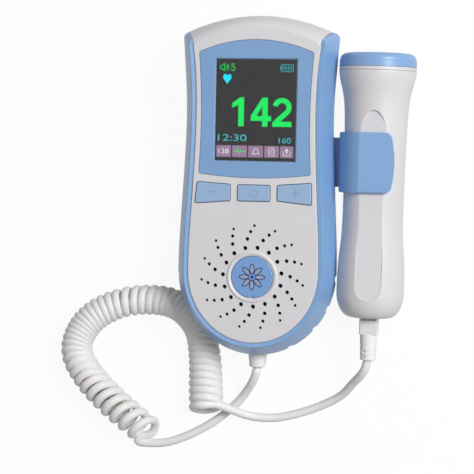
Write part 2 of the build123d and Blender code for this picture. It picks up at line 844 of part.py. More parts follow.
with BuildPart() as batteries:
    for side in (-1, 1):
        end = cell_centre_y - side * (cell_length + cell_nub_length) / 2
        with BuildSketch(Plane((side * cell_spacing / 2, end, cell_height), z_dir=(0, side, 0))):
            Circle(cell_radius)
        extrude(amount=cell_length)
        with BuildSketch(
            Plane(
                (side * cell_spacing / 2, end + side * cell_length, cell_height),
                z_dir=(0, side, 0),
            )
        ):
            Circle(cell_nub_radius)
        extrude(amount=cell_nub_length)

finish(batteries, "batteries")

with BuildPart() as battery_contacts:
    for side in (-1, 1):
        for end in (-1, 1):
            wall_y = cell_centre_y + end * (box_half_length - seam)
            reach = contact_length - 2 * seam
            with BuildSketch(
                Plane((side * cell_spacing / 2, wall_y, cell_height), z_dir=(0, -end, 0))
            ):
                Rectangle(contact_width, contact_width)
            extrude(amount=contact_thickness)
            with BuildSketch(
                Plane((side * cell_spacing / 2, wall_y, cell_height), z_dir=(0, -end, 0))
            ):
                Circle(cell_nub_radius)
            extrude(amount=reach)

finish(battery_contacts, "battery_contacts")


def screws(label, sites, seat, length, head_side, lean=0.0):
    """A group of pan-head screws: shanks rise from seat, heads lie on head_side of it."""
    with BuildPart() as group:
        with BuildSketch(Plane.XY.offset(seat)):
            with Locations(*sites):
                Circle(screw_head_radius)
        extrude(amount=head_side * screw_head_height)
        with BuildSketch(Plane.XY.offset(seat)):
            with Locations(*sites):
                Circle(screw_radius)
        extrude(amount=-head_side * length)
        with BuildSketch(Plane.XY.offset(seat + head_side * screw_head_height)):
            with Locations(*sites):
                Rectangle(screw_slot_length, screw_slot_width)
                Rectangle(screw_slot_width, screw_slot_length)
        extrude(amount=-head_side * screw_slot_depth, mode=Mode.SUBTRACT)
    finish(group, label, lean)


housing_screw_length = split_height - screw_seat + screw_bite - screw_end_gap
board_screw_length = board_thickness + board_screw_bite - screw_end_gap
clip_screw_length = foot_thickness + clip_screw_bite - screw_end_gap
screws("housing_screws", screw_sites, screw_seat, housing_screw_length, -1)
screws("board_screws", board_screw_sites, board_height, board_screw_length, -1)
screws("clip_screws", clip_screw_sites, foot_top, clip_screw_length, 1)

# ---------------------------------------------------------------------------
# Clip
# ---------------------------------------------------------------------------

with BuildPart() as clip_shape:
    with BuildSketch(Plane((0, clip_centre_y, 0), x_dir=(1, 0, 0), z_dir=(0, -1, 0))):
        with BuildLine():
            outer_lift = finger_outer - probe_z
            inner_lift = finger_inner - probe_z
            outer_start = probe_x - sqrt(clip_outer**2 - outer_lift**2)
            inner_start = probe_x - sqrt(clip_inner**2 - inner_lift**2)
            Line((clip_tip_x, finger_outer), (outer_start, finger_outer))
            ThreePointArc(
                (outer_start, finger_outer),
                (probe_x - clip_outer, probe_z),
                (probe_x, probe_z - clip_outer),
            )
            Line((probe_x, probe_z - clip_outer), (clip_tip_x, probe_z - clip_outer))
            Line((clip_tip_x, probe_z - clip_outer), (clip_tip_x, probe_z - clip_inner))
            Line((clip_tip_x, probe_z - clip_inner), (probe_x, probe_z - clip_inner))
            ThreePointArc(
                (probe_x, probe_z - clip_inner),
                (probe_x - clip_inner, probe_z),
                (inner_start, finger_inner),
            )
            Line((inner_start, finger_inner), (clip_tip_x, finger_inner))
            Line((clip_tip_x, finger_inner), (clip_tip_x, finger_outer))
        make_face()
    extrude(amount=clip_length / 2, both=True)
    fillet(
        clip_shape.edges().filter_by(Axis.X).group_by(Axis.Z)[-1],
        clip_edge_radius,
    )

with BuildPart() as probe_clip:
    add(clip_shape.part)
    with BuildSketch() as clip_plan:
        with BuildLine():
            left = probe_x - clip_outer
            shoulder = clip_tip_x - clip_tip_bulge
            low = clip_centre_y - clip_length / 2
            high = clip_centre_y + clip_length / 2
            Polyline((shoulder, low), (left, low), (left, high), (shoulder, high))
            ThreePointArc((shoulder, high), (clip_tip_x, clip_centre_y), (shoulder, low))
        make_face()
        fillet(clip_plan.vertices().sort_by(Axis.X)[:2], clip_back_radius)
        fillet(clip_plan.vertices().sort_by(Axis.X)[-2:], clip_tip_radius)
    extrude(amount=2 * unit_thickness, mode=Mode.INTERSECT)
    # arm into the rear housing, and its screwed foot
    with BuildSketch(Plane((0, arm_centre_y, 0), x_dir=(1, 0, 0), z_dir=(0, -1, 0))):
        with BuildLine():
            root_radius = clip_outer - arm_root
            Polyline(
                (foot_x, arm_bottom),
                (probe_x - sqrt(root_radius**2 - (probe_z - arm_bottom) ** 2), arm_bottom),
                (probe_x - sqrt(root_radius**2 - (probe_z - arm_top) ** 2), arm_top),
                (foot_x, arm_top),
                close=True,
            )
        make_face()
    extrude(amount=arm_length_y / 2, both=True)
    with BuildSketch(Plane((foot_x + foot_overlap, arm_centre_y, arm_bottom))):
        Rectangle(foot_width + foot_overlap, arm_length_y, align=(Align.MAX, Align.CENTER))
    extrude(amount=foot_thickness)
    with BuildSketch(Plane.XY.offset(arm_bottom)):
        with Locations(*clip_screw_sites):
            Circle(screw_radius + slip)
    extrude(amount=foot_thickness, mode=Mode.SUBTRACT)

finish(probe_clip, "probe_clip")

# ---------------------------------------------------------------------------
# Probe
# ---------------------------------------------------------------------------

probe_axis = Axis((probe_x, 0, probe_z), (0, 1, 0))
probe_plane = Plane((probe_x, 0, probe_z))
front_half = Axis((probe_x, 0, probe_z), (0, -1, 0))


def across_probe(y, up=1):
    """Plane square to the probe's axis, facing its head, or its plug when up is -1."""
    return Plane((probe_x, y, probe_z), x_dir=(1, 0, 0), z_dir=(0, up, 0))


def probe_section(inset, top_y):
    """Half of the probe's length section, from its axis out to its side drawn in by inset."""
    with BuildSketch(probe_plane) as section:
        with BuildLine():
            Polyline(
                (probe_bottom_radius - inset, probe_bottom_y + inset),
                (0, probe_bottom_y + inset),
                (0, top_y),
                (head_radius - inset, top_y),
                (head_radius - inset, neck_y),
            )
            Spline(
                *[(radius - inset, y) for radius, y in probe_profile],
                tangents=((-0.1, -1), (0, -1)),
            )
            EllipticalCenterArc(
                (probe_bottom_radius - inset, bulge_y),
                bulge_radius - probe_bottom_radius,
                bulge_y - probe_bottom_y - inset,
                start_angle=270,
                arc_size=90,
            )
        make_face()
    return section.sketch


def probe_half(half):
    """One half shell of the probe: skin, spigot for the cap, screw bosses and plug opening."""
    up = 1 if half is front_half else -1
    with BuildPart() as shell:
        revolve(probe_section(0, ring_y - seam), axis=half, revolution_arc=180)
        with BuildSketch(probe_plane):
            with Locations((0, neck_y)):
                Rectangle(
                    head_radius - cap_wall - seam,
                    cap_seam_y + spigot_length - neck_y,
                    align=(Align.MIN, Align.MIN),
                )
        revolve(axis=half, revolution_arc=180)
        revolve(
            probe_section(probe_wall, cap_seam_y + spigot_length),
            axis=half,
            revolution_arc=180,
            mode=Mode.SUBTRACT,
        )
        with BuildSketch(probe_plane):
            with Locations(*[(0, y) for y in probe_screw_ys]):
                Circle(probe_boss_radius)
        extrude(amount=up * (waist_radius - probe_wall / 2))
        with BuildSketch(across_probe(probe_bottom_y)):
            Rectangle(plug_width + 2 * seam, plug_depth + 2 * seam)
        extrude(amount=probe_wall + seam, mode=Mode.SUBTRACT)
    return shell.part


with BuildPart() as panel_cut:
    # all that lies over the flat panel: its floor follows the probe's side
    with BuildSketch(Plane((probe_x, 0, probe_z), x_dir=(0, 1, 0), z_dir=(1, 0, 0))):
        with BuildLine():
            floor = [(y, radius - panel_depth) for radius, y in probe_profile]
            Spline(*floor)
            Polyline(
                floor[-1],
                (panel_bottom_y - panel_depth, floor[-1][1]),
                (panel_bottom_y - panel_depth, 2 * head_radius),
                (neck_y, 2 * head_radius),
                floor[0],
            )
        make_face()
    extrude(amount=panel_half_width, both=True)
    with BuildSketch(probe_plane):
        with BuildLine():
            spring_y = panel_top_y - panel_arch
            round_y = panel_bottom_y + panel_half_width
            EllipticalCenterArc((0, spring_y), panel_half_width, panel_arch, arc_size=180)
            Line((-panel_half_width, spring_y), (-panel_half_width, round_y))
            ThreePointArc(
                (-panel_half_width, round_y), (0, panel_bottom_y), (panel_half_width, round_y)
            )
            Line((panel_half_width, round_y), (panel_half_width, spring_y))
        make_face()
    extrude(amount=3 * head_radius, mode=Mode.INTERSECT)

with BuildPart() as probe_front_shell:
    add(probe_half(front_half))
    add(panel_cut.part, mode=Mode.SUBTRACT)
    with BuildSketch(probe_plane):
        with Locations(*[(0, y) for y in probe_screw_ys]):
            Circle(screw_radius + screw_gap)
    extrude(amount=probe_screw_bite, mode=Mode.SUBTRACT)

finish(probe_front_shell, "probe_front_shell", probe_lean)

with BuildPart() as probe_rear_shell:
    add(probe_half(probe_axis))
    with BuildSketch(Plane((probe_x, 0, probe_z - head_radius))):
        with Locations(*[(0, y) for y in probe_screw_ys]):
            Circle(screw_head_radius + slip)
    extrude(amount=probe_screw_seat - probe_z + head_radius, mode=Mode.SUBTRACT)
    with BuildSketch(Plane((probe_x, 0, probe_z - head_radius))):
        with Locations(*[(0, y) for y in probe_screw_ys]):
            Circle(screw_radius + slip)
    extrude(amount=head_radius, mode=Mode.SUBTRACT)

finish(probe_rear_shell, "probe_rear_shell", probe_lean)

with BuildPart() as probe_cap:
    with BuildSketch(probe_plane):
        with BuildLine():
            TangentArc(
                (0, head_top_y + cap_crown),
                (head_radius - cap_step - cap_round, head_top_y),
                tangent=(1, 0),
            )
            RadiusArc(
                (head_radius - cap_step - cap_round, head_top_y),
                (head_radius - cap_step, head_top_y - cap_round),
                cap_round,
            )
            Polyline(
                (head_radius - cap_step, head_top_y - cap_round),
                (head_radius - cap_step, cap_step_y),
                (head_radius, cap_step_y - cap_step),
                (head_radius, cap_seam_y),
                (head_radius - cap_wall, cap_seam_y),
                (head_radius - cap_wall, head_top_y - cap_round),
                (head_radius - cap_round, head_top_y - cap_wall),
                (0, head_top_y - cap_wall),
                (0, head_top_y + cap_crown),
            )
        make_face()
    revolve(axis=probe_axis)

finish(probe_cap, "probe_cap", probe_lean)

with BuildPart() as cap_ring:
    with BuildSketch(across_probe(ring_y)):
        Circle(head_radius)
        Circle(head_radius - cap_wall, mode=Mode.SUBTRACT)
    extrude(amount=cap_seam_y - seam - ring_y)

finish(cap_ring, "cap_ring", probe_lean)

with BuildPart() as crystals:
    # transmitter and receiver: two half discs side by side
    with BuildSketch(across_probe(crystal_y, -1)):
        Circle(crystal_radius)
        Rectangle(crystal_gap, 3 * crystal_radius, mode=Mode.SUBTRACT)
    extrude(amount=crystal_thickness)

finish(crystals, "crystals", probe_lean)

with BuildPart() as crystal_holder:
    with BuildSketch(across_probe(holder_y)):
        Circle(holder_radius)
    extrude(amount=holder_length)
    with BuildSketch(across_probe(holder_y)):
        Circle(head_radius - probe_wall - seam)
    extrude(amount=holder_flange)

finish(crystal_holder, "crystal_holder", probe_lean)

with BuildPart() as probe_board:
    with BuildSketch(Plane((probe_x, 0, probe_z - board_thickness / 2))):
        with Locations((0, (probe_board_top_y + probe_board_bottom_y) / 2)):
            Rectangle(2 * probe_board_half_width, probe_board_top_y - probe_board_bottom_y)
        with Locations(*[(0, y) for y in probe_screw_ys]):
            Circle(probe_boss_radius + slip, mode=Mode.SUBTRACT)
    extrude(amount=board_thickness)

finish(probe_board, "probe_board", probe_lean)

probe_screw_sites = [(probe_x, y) for y in probe_screw_ys]
probe_screw_length = probe_z - probe_screw_seat + probe_screw_bite - screw_end_gap
screws("probe_screws", probe_screw_sites, probe_screw_seat, probe_screw_length, -1, probe_lean)

# ---------------------------------------------------------------------------
# Plug at the probe's end
# ---------------------------------------------------------------------------

with BuildPart() as probe_socket:
    with BuildSketch(across_probe(probe_inner_bottom + seam)):
        Rectangle(socket_width, socket_depth)
    extrude(amount=socket_length)
    with BuildSketch(across_probe(probe_inner_bottom + seam)):
        Rectangle(plug_tongue_width + 2 * seam, plug_tongue_depth + 2 * seam)
    extrude(amount=plug_tongue_length, mode=Mode.SUBTRACT)

finish(probe_socket, "probe_socket", probe_lean)

with BuildPart() as plug_body:
    with BuildSketch(across_probe(plug_block_y, -1)):
        RectangleRounded(plug_width, plug_depth, plug_corner_radius)
    extrude(amount=plug_block_length)
    with BuildSketch(across_probe(plug_block_y)):
        RectangleRounded(plug_width, plug_depth, plug_corner_radius)
    extrude(amount=plug_neck_length + probe_wall - seam)
    with BuildSketch(across_probe(plug_block_y)):
        with Locations((0, plug_depth / 2), (0, -plug_depth / 2)):
            Rectangle(plug_slot_width, 2 * plug_slot_depth)
    extrude(amount=plug_neck_length + probe_wall, mode=Mode.SUBTRACT)
    with BuildSketch(across_probe(plug_block_y)):
        Rectangle(plug_tongue_width, plug_tongue_depth)
    extrude(amount=plug_neck_length + probe_wall + plug_tongue_length - slip)

finish(plug_body, "plug_body", probe_lean)

with BuildPart() as plug_contacts:
    pin_y = probe_inner_bottom + pin_start
    with BuildSketch(Plane((probe_x, pin_y, probe_z + plug_tongue_depth / 2))):
        with GridLocations(pin_pitch, 1, pin_count, 1):
            Rectangle(pin_width, pin_length, align=(Align.CENTER, Align.MIN))
    extrude(amount=pin_thickness)

finish(plug_contacts, "plug_contacts", probe_lean)

with BuildPart() as plug_boot:
    with BuildSketch(probe_plane):
        with BuildLine():
            Polyline(
                (0, plug_boot_y),
                (plug_boot_root_radius, plug_boot_y),
                (plug_boot_tip_radius, plug_end_y),
                (0, plug_end_y),
                close=True,
            )
        make_face()
    revolve(axis=probe_axis)
    fillet(plug_boot.edges().group_by(Axis.Y)[0], plug_end_radius)
    for rib_y in plug_rib_ys:
        share = (plug_boot_y - rib_y) / plug_boot_length
        rib_radius = plug_boot_root_radius + share * (plug_boot_tip_radius - plug_boot_root_radius)
        with BuildSketch(probe_plane):
            with Locations((rib_radius, rib_y)):
                Rectangle(2 * plug_rib_depth, plug_rib_width)
        revolve(axis=probe_axis, mode=Mode.SUBTRACT)
    # slits across the ribs, left of the middle in front and mirrored at the back
    for rib_y in plug_rib_ys[1:]:
        for side in (-1, 1):
            slit_floor = probe_z + side * (plug_boot_root_radius - plug_slit_depth)
            with BuildSketch(Plane((probe_x, rib_y, slit_floor))):
                with Locations((-side * plug_slit_length, 0)):
                    Rectangle(plug_slit_length, plug_slit_width)
            extrude(amount=side * 2 * plug_slit_depth, mode=Mode.SUBTRACT)

finish(plug_boot, "plug_boot", probe_lean)

# ---------------------------------------------------------------------------
# Cord
# ---------------------------------------------------------------------------

with BuildPart() as cord_boot:
    with BuildSketch(Plane((0, 0, boot_height))):
        with BuildLine():
            Polyline(
                (0, boot_tip_y),
                (boot_tip_radius, boot_tip_y),
                (boot_root_radius, boot_root_y),
                (boot_root_radius, boot_inner_y),
                (boot_flange_radius, boot_inner_y),
                (boot_flange_radius, boot_inner_y + boot_flange_thickness),
                (0, boot_inner_y + boot_flange_thickness),
                close=True,
            )
        make_face()
    revolve(axis=Axis((0, 0, boot_height), (0, 1, 0)))
    fillet(cord_boot.edges().group_by(Axis.Y)[0], boot_end_radius)

finish(cord_boot, "cord_boot")


def tube(label, route, diameter):
    """A tube along the route: straight runs joined by arcs as large as the runs allow."""
    points = [Vector(*point) for point in route]
    radii = []
    for before, point, after in zip(points, points[1:], points[2:]):
        turn = (point - before).get_angle(after - point)
        shorter = min((point - before).length, (after - point).length)
        radii.append(0.45 * shorter / tan(radians(turn) / 2))
    print(label, "radii", [round(radius, 1) for radius in radii])
    with BuildPart() as piece:
        with BuildLine() as path:
            FilletPolyline(*points, radius=radii)
        centreline = path.wire()
        with BuildSketch(Plane(origin=centreline @ 0, z_dir=centreline % 0)):
            Circle(diameter / 2)
        sweep(path=centreline)
    swept = centreline.length * pi * diameter**2 / 4
    print(label, "length", round(centreline.length), "volume", round(piece.part.volume / swept, 3))
    finish(piece, label)


tube("cord_unit_lead", unit_lead_route, cord_diameter)
tube("cord_coil", coil_route, coil_diameter)
tube("cord_probe_lead", probe_lead_route, cord_diameter)
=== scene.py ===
import math

import bmesh
import bpy
import numpy as np
from mathutils import Matrix, Vector


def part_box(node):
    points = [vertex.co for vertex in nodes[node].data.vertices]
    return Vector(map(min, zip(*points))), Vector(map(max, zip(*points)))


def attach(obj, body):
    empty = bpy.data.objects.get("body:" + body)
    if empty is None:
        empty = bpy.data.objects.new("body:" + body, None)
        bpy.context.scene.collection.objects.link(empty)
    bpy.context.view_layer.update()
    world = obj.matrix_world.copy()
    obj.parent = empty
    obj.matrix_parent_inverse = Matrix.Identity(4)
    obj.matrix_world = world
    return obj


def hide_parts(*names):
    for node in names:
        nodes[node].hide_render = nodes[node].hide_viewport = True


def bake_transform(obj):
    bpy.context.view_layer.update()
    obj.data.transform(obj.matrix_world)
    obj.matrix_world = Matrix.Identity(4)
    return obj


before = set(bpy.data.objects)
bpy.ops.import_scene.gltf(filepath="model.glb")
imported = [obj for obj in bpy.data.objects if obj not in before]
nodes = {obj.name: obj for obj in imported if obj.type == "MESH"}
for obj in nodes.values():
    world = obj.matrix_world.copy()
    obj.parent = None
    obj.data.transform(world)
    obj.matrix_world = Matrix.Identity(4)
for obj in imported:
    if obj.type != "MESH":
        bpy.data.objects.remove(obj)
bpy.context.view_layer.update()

MM = 0.001

# ---------------------------------------------------------------------------
# Camera, floor and light
# ---------------------------------------------------------------------------

IMAGE_PIXELS = 474
FOCAL_PIXELS = 1627.9          # the lens, as pixels of that image
SENSOR_WIDTH = 36.0
CAMERA_PLACE = Vector((108.453, 20.527, 721.147)) * MM
TILT_X, TILT_Y, ROLL = math.radians(9.5), math.radians(3.5), math.radians(1.108)

backward = Vector((math.tan(TILT_X), math.tan(TILT_Y), 1)).normalized()
level_right = Vector((0, 1, 0)).cross(backward).normalized()
level_up = backward.cross(level_right)
right = math.cos(ROLL) * level_right + math.sin(ROLL) * level_up
up = -math.sin(ROLL) * level_right + math.cos(ROLL) * level_up

camera_data = bpy.data.cameras.new("camera")
camera_data.sensor_width = SENSOR_WIDTH
camera_data.lens = FOCAL_PIXELS * SENSOR_WIDTH / IMAGE_PIXELS
camera_data.clip_start = 0.01
camera = bpy.data.objects.new("camera", camera_data)
facing = Matrix((right, up, backward)).transposed().to_4x4()
camera.matrix_world = Matrix.Translation(CAMERA_PLACE) @ facing
bpy.context.scene.collection.objects.link(camera)
bpy.context.scene.camera = camera

# One square soft box that faces the unit
LAMP_PLACE, LAMP_TARGET = Vector((0.76, 0.36, 0.98)), Vector((0.02, 0, 0))
LAMP_SIZE, LAMP_POWER = 0.5, 13.2
lamp_data = bpy.data.lights.new("key_lamp", "AREA")
lamp_data.size = LAMP_SIZE
lamp_data.energy = LAMP_POWER
lamp = bpy.data.objects.new("key_lamp", lamp_data)
lamp.location = LAMP_PLACE
lamp.rotation_euler = (LAMP_TARGET - LAMP_PLACE).to_track_quat("-Z", "Y").to_euler()
bpy.context.scene.collection.objects.link(lamp)

FILL_STRENGTH = 0.30
FLOOR_GREY = 0.4               # the floor as its light falls on the parts
FLOOR_WHITE = 0.93             # how much of the floor that the camera sees is plain white


def shown_directly(tree):
    """A node output that is 1 on what the camera, a mirror or glass sees directly, else 0."""
    path = tree.nodes.new("ShaderNodeLightPath")
    total = path.outputs["Is Camera Ray"]
    for kind in ("Is Glossy Ray", "Is Transmission Ray"):
        add = tree.nodes.new("ShaderNodeMath")
        add.operation = "MAXIMUM"
        tree.links.new(total, add.inputs[0])
        tree.links.new(path.outputs[kind], add.inputs[1])
        total = add.outputs[0]
    return total


world = bpy.data.worlds.new("studio")
bpy.context.scene.world = world
world.use_nodes = True
tree = world.node_tree
tree.nodes.clear()
fill_light = tree.nodes.new("ShaderNodeBackground")
fill_light.inputs["Color"].default_value = (1, 1, 1, 1)
fill_light.inputs["Strength"].default_value = FILL_STRENGTH
backdrop = tree.nodes.new("ShaderNodeBackground")
backdrop.inputs["Color"].default_value = (1, 1, 1, 1)
mix = tree.nodes.new("ShaderNodeMixShader")
tree.links.new(shown_directly(tree), mix.inputs[0])
tree.links.new(fill_light.outputs[0], mix.inputs[1])
tree.links.new(backdrop.outputs[0], mix.inputs[2])
tree.links.new(mix.outputs[0], tree.nodes.new("ShaderNodeOutputWorld").inputs[0])

bpy.context.scene.view_settings.view_transform = "Standard"


def floor_material():
    """Matt; what looks at it directly sees mostly plain white, with a faint shadow."""
    made = bpy.data.materials.new("floor")
    made.use_nodes = True
    tree = made.node_tree
    tree.nodes.clear()
    matt = tree.nodes.new("ShaderNodeBsdfDiffuse")
    matt.inputs["Color"].default_value = (FLOOR_GREY, FLOOR_GREY, FLOOR_GREY, 1)
    pale = tree.nodes.new("ShaderNodeBsdfDiffuse")
    pale.inputs["Color"].default_value = (1, 1, 1, 1)
    white = tree.nodes.new("ShaderNodeEmission")
    white.inputs["Strength"].default_value = 1.0
    part_white = tree.nodes.new("ShaderNodeMixShader")
    part_white.inputs[0].default_value = FLOOR_WHITE
    tree.links.new(pale.outputs[0], part_white.inputs[1])
    tree.links.new(white.outputs[0], part_white.inputs[2])
    choose = tree.nodes.new("ShaderNodeMixShader")
    tree.links.new(shown_directly(tree), choose.inputs[0])
    tree.links.new(matt.outputs[0], choose.inputs[1])
    tree.links.new(part_white.outputs[0], choose.inputs[2])
    tree.links.new(choose.outputs[0], tree.nodes.new("ShaderNodeOutputMaterial").inputs[0])
    return made


FLOOR_SIZE, FLOOR_DROP = 4.0, 0.0001
bpy.ops.mesh.primitive_plane_add(size=FLOOR_SIZE, location=(0, 0, -FLOOR_DROP))
floor = bpy.context.object
floor.name = "floor"
floor.data.materials.append(floor_material())

# ---------------------------------------------------------------------------
# Materials
# ---------------------------------------------------------------------------

GLOSS_DRIFT = 0.15
BUMP_DEPTH = 0.0003
COAT_ROUGHNESS = 0.12


def linear(colour):
    """An sRGB colour, 0 to 255, as the linear RGBA that shaders take."""
    shares = [c / 255 for c in colour]
    return tuple(
        s / 12.92 if s <= 0.04045 else ((s + 0.055) / 1.055) ** 2.4 for s in shares
    ) + (1,)


def noise_of(tree, scale, detail=3.0):
    """A noise texture in the object's own metres."""
    place = tree.nodes.new("ShaderNodeTexCoord")
    noise = tree.nodes.new("ShaderNodeTexNoise")
    noise.inputs["Scale"].default_value = scale
    noise.inputs["Detail"].default_value = detail
    tree.links.new(place.outputs["Object"], noise.inputs["Vector"])
    return noise.outputs["Fac"]


def moulded(name, colour, roughness=0.4, drift=0.04, drift_scale=45, grain=0.015,
            grain_scale=1400, coat=0.0, metallic=0.0, specular=0.5):
    """A moulded or plated surface: tone and gloss drift slowly, with a fine grain on top."""
    made = bpy.data.materials.new(name)
    made.use_nodes = True
    tree = made.node_tree
    shader = tree.nodes["Principled BSDF"]
    slow = noise_of(tree, drift_scale)
    tone = tree.nodes.new("ShaderNodeMix")
    tone.data_type = "RGBA"
    base = linear(colour)
    tone.inputs["A"].default_value = tuple(c * (1 - drift) for c in base[:3]) + (1,)
    tone.inputs["B"].default_value = tuple(min(1, c * (1 + drift)) for c in base[:3]) + (1,)
    tree.links.new(slow, tone.inputs["Factor"])
    tree.links.new(tone.outputs["Result"], shader.inputs["Base Color"])
    gloss = tree.nodes.new("ShaderNodeMapRange")
    gloss.inputs["To Min"].default_value = roughness * (1 - GLOSS_DRIFT)
    gloss.inputs["To Max"].default_value = min(1, roughness * (1 + GLOSS_DRIFT))
    tree.links.new(slow, gloss.inputs["Value"])
    tree.links.new(gloss.outputs["Result"], shader.inputs["Roughness"])
    bump = tree.nodes.new("ShaderNodeBump")
    bump.inputs["Strength"].default_value = grain
    bump.inputs["Distance"].default_value = BUMP_DEPTH
    tree.links.new(noise_of(tree, grain_scale, 2.0), bump.inputs["Height"])
    tree.links.new(bump.outputs["Normal"], shader.inputs["Normal"])
    shader.inputs["Coat Weight"].default_value = coat
    shader.inputs["Coat Roughness"].default_value = COAT_ROUGHNESS
    shader.inputs["Metallic"].default_value = metallic
    shader.inputs["Specular IOR Level"].default_value = specular
    return made


white_shell = moulded("white_shell", (217, 215, 218), 0.42, grain=0.05)
blue_shell = moulded("blue_shell", (131, 170, 216), 0.34)
blue_panel = moulded("blue_panel", (126, 162, 205), 0.45, grain=0.04)
button_blue = moulded("button_blue", (151, 180, 213), 0.35)
display_dark = moulded("display_dark", (6, 6, 8), 0.3)
medallion_blue = moulded("medallion_blue", (112, 155, 208), 0.3, coat=0.5)
steel = moulded("steel", (176, 178, 182), 0.28, metallic=1.0, grain=0.08, grain_scale=2500)
gold = moulded("gold", (212, 170, 90), 0.22, metallic=1.0)
cell_jacket = moulded("cell_jacket", (52, 60, 72), 0.35, coat=0.4)
board_green = moulded("board_green", (26, 92, 58), 0.4, drift=0.1, drift_scale=200)
rubber = moulded("rubber", (150, 152, 156), 0.7, grain=0.1)
speaker_metal = moulded("speaker_metal", (120, 122, 126), 0.35, metallic=0.9)
speaker_paper = moulded("speaker_paper", (16, 16, 18), 0.8, grain=0.3, grain_scale=900)
black_plastic = moulded("black_plastic", (18, 18, 20), 0.45)
ceramic = moulded("ceramic", (205, 196, 178), 0.55, grain=0.1)
cord_white = moulded("cord_white", (240, 238, 236), 0.5)
plug_white = moulded("plug_white", (222, 223, 226), 0.38)
symbol_blue = moulded("symbol_blue", (136, 164, 202), 0.4)
line_blue = moulded("line_blue", (22, 52, 132), 0.35)
petal_grey = moulded("petal_grey", (150, 160, 176), 0.35)


def window_material():
    """Clear polished acrylic."""
    made = moulded("window_glass", (250, 250, 250), 0.03, drift=0.01, grain=0.0)
    shader = made.node_tree.nodes["Principled BSDF"]
    shader.inputs["Transmission Weight"].default_value = 1.0
    shader.inputs["IOR"].default_value = 1.25
    return made


def lit(name, colour):
    """A colour that the display gives off by itself."""
    made = moulded(name, [c * 0.25 for c in colour], 0.5, specular=0.05)
    shader = made.node_tree.nodes["Principled BSDF"]
    shader.inputs["Emission Color"].default_value = linear(colour)
    shader.inputs["Emission Strength"].default_value = 1.0
    return made


NODE_MATERIALS = {
    white_shell: [
        "front_housing", "rear_housing", "battery_door",
        "probe_front_shell", "probe_rear_shell", "cap_ring",
    ],
    blue_shell: ["side_bumper", "probe_cap", "probe_clip"],
    blue_panel: ["screen_bezel"],
    button_blue: ["minus_button", "power_button", "plus_button"],
    window_material(): ["display_window"],
    display_dark: ["lcd_module"],
    medallion_blue: ["medallion"],
    steel: ["housing_screws", "board_screws", "clip_screws", "probe_screws", "battery_contacts"],
    gold: ["plug_contacts"],
    cell_jacket: ["batteries"],
    board_green: ["main_board", "probe_board"],
    rubber: ["keypad", "speaker_gasket"],
    speaker_metal: ["speaker_frame"],
    speaker_paper: ["speaker_cone"],
    black_plastic: ["crystal_holder", "probe_socket"],
    ceramic: ["crystals"],
    cord_white: ["cord_boot", "plug_boot"],
    plug_white: ["plug_body"],
}
for finish, names in NODE_MATERIALS.items():
    for name in names:
        mesh = nodes[name].data
        mesh.materials.clear()
        mesh.materials.append(finish)

# ---------------------------------------------------------------------------
# Cord
# ---------------------------------------------------------------------------

CORD_DIAMETER = 3.8 * MM
CORD_SIDES = 14

# The control points of the leads and of the coil's axis, in millimetres: those of the part's
# source, moved and added to so as to follow the photograph inside the CAD box. The first
# lead turns back on itself before it runs in under the coil.
UNIT_LEAD = [
    (0.0, -80.3, 11.3),
    (-1.2, -85.7, 10.2),
    (-5.4, -92.2, 4.7),
    (-9.8, -98.1, 2.2),
    (-16.6, -104.2, 1.9),
    (-22.2, -108.5, 1.9),
    (-30.6, -113.4, 1.9),
    (-38.6, -116.9, 1.9),
    (-44.6, -118.5, 1.9),
    (-50.8, -118.7, 1.9),
    (-56.4, -118.6, 1.9),
    (-55.4, -116.0, 1.9),
    (-51.4, -115.2, 1.9),
]
COIL_AXIS = [
    (-48.5, -113.6, 7.4),
    (-51.5, -111.6, 7.45),
    (-59.0, -105.9, 7.45),
    (-67.1, -99.6, 7.45),
    (-77.4, -89.7, 7.45),
    (-85.6, -76.8, 7.3),
    (-79.4, -62.8, 7.15),
    (-66.5, -55.0, 7.0),
    (-52.7, -52.2, 6.9),
    (-37.5, -53.4, 6.9),
    (-26.8, -63.8, 6.95),
    (-24.3, -78.4, 7.2),
    (-23.7, -92.8, 7.7),
    (-23.2, -103.0, 7.95),
]
PROBE_LEAD = [
    (-19.2, -97.5, 11.4),
    (-11.6, -100.8, 7.7),
    (-4.3, -104.1, 3.6),
    (6.6, -104.8, 1.9),
    (17.6, -102.0, 1.9),
    (27.8, -98.0, 2.6),
    (37.4, -92.7, 5.0),
    (42.6, -85.8, 10.4),
    (47.7, -80.2, 16.4),
    (49.3, -75.15, 17.45),
    (49.35, -72.6, 17.5),
]
TURN_POINTS = 12
START_PHASE = math.radians(-90)
AXIS_STEPS, CORD_STEPS, TABLE_STEPS = 40, 4, 4001
